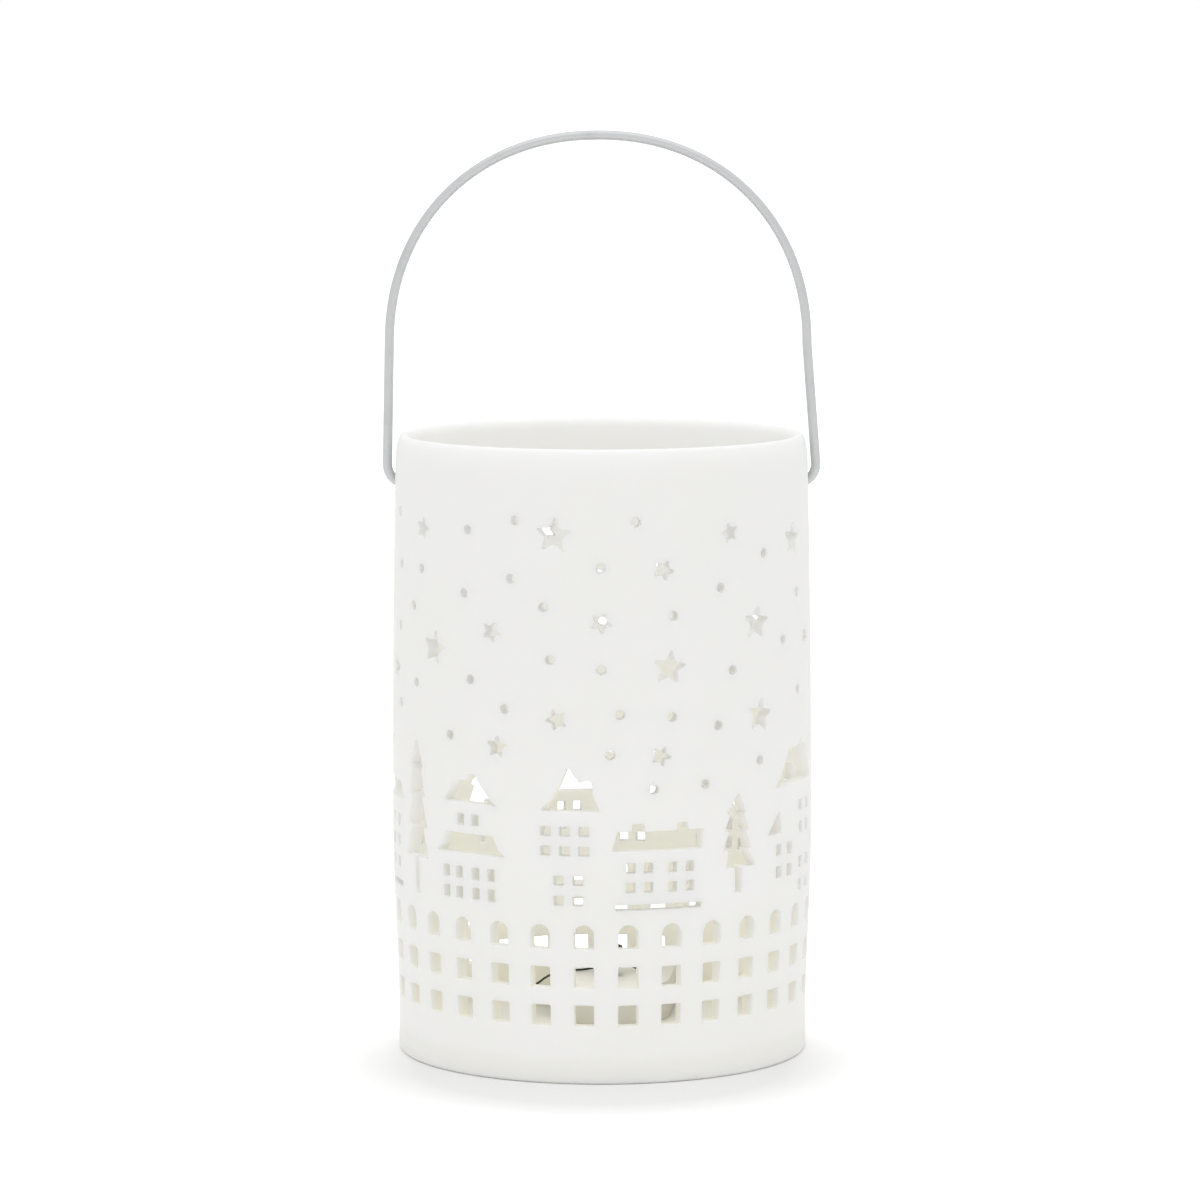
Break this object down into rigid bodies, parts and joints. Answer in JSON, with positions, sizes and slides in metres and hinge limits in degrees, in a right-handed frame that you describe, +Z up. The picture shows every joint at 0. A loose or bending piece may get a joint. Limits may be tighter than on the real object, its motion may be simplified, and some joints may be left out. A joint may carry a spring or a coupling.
{
  "type": "ceramic led lantern",
  "caption": "Pierced porcelain cylinder lantern with a swinging wire bail and a lift-out battery LED light standing on its floor.",
  "frame": {"origin": "middle of the base, on the surface that the lantern stands on", "axes": "+Z up through the mouth and the bail, +X towards the right-hand ear, -Y towards the front that the picture shows"},
  "size_m": [0.1144, 0.11, 0.2406],
  "materials": {
    "porcelain": "unglazed bisque porcelain, fine and matte",
    "bail_wire": "silver grey satin coat",
    "case_plastic": "off-white satin moulding",
    "screw_steel": "zinc plated",
    "cell_steel": "bright nickel plated can",
    "contact_nickel": "nickel plated strip",
    "switch_plastic": "black moulding",
    "switch_brass": "sprung strip",
    "resistor_coat": "tan lacquer with colour bands",
    "gland_rubber": "matte black",
    "lead_insulation": "black insulation, slight sheen",
    "holder_plastic": "black collar",
    "led_lens": "clear epoxy with a warm tint",
    "led_leg_tin": "tinned"
  },
  "bodies": {
    "shell": {"ceramic_shell": "porcelain"},
    "bail": {"bail_handle": "bail_wire"},
    "cover": {"case_cover": "case_plastic", "cover_screw": "screw_steel", "coin_cell_lower": "cell_steel", "coin_cell_upper": "cell_steel"},
    "light": {"case_tray": "case_plastic", "contact_negative": "contact_nickel", "contact_positive": "contact_nickel", "switch_body": "switch_plastic", "resistor": "resistor_coat", "lead_gland": "gland_rubber", "lead_negative": "lead_insulation", "lead_positive": "lead_insulation", "led_holder": "holder_plastic", "led_bulb": "led_lens", "led_leg_long": "led_leg_tin", "led_leg_short": "led_leg_tin"},
    "slider": {"switch_slider": "switch_plastic", "switch_contact": "switch_brass"}
  },
  "joints": [
    {"name": "bail_swing", "type": "hinge", "parent": "shell", "child": "bail", "pos_m": [0, 0, 0.1494], "axis": [1, 0, 0], "range_deg": [-135, 135]},
    {"name": "light_lift", "type": "slide", "parent": "shell", "child": "cover", "axis": [0, 0, 1], "range_m": [0, 0.165]},
    {"name": "case_open", "type": "slide", "parent": "cover", "child": "light", "axis": [0, 0, 1], "range_m": [0, 0.02]},
    {"name": "switch_slide", "type": "slide", "parent": "light", "child": "slider", "axis": [0.9945, -0.1045, 0], "range_m": [0, 0.002]}
  ]
}
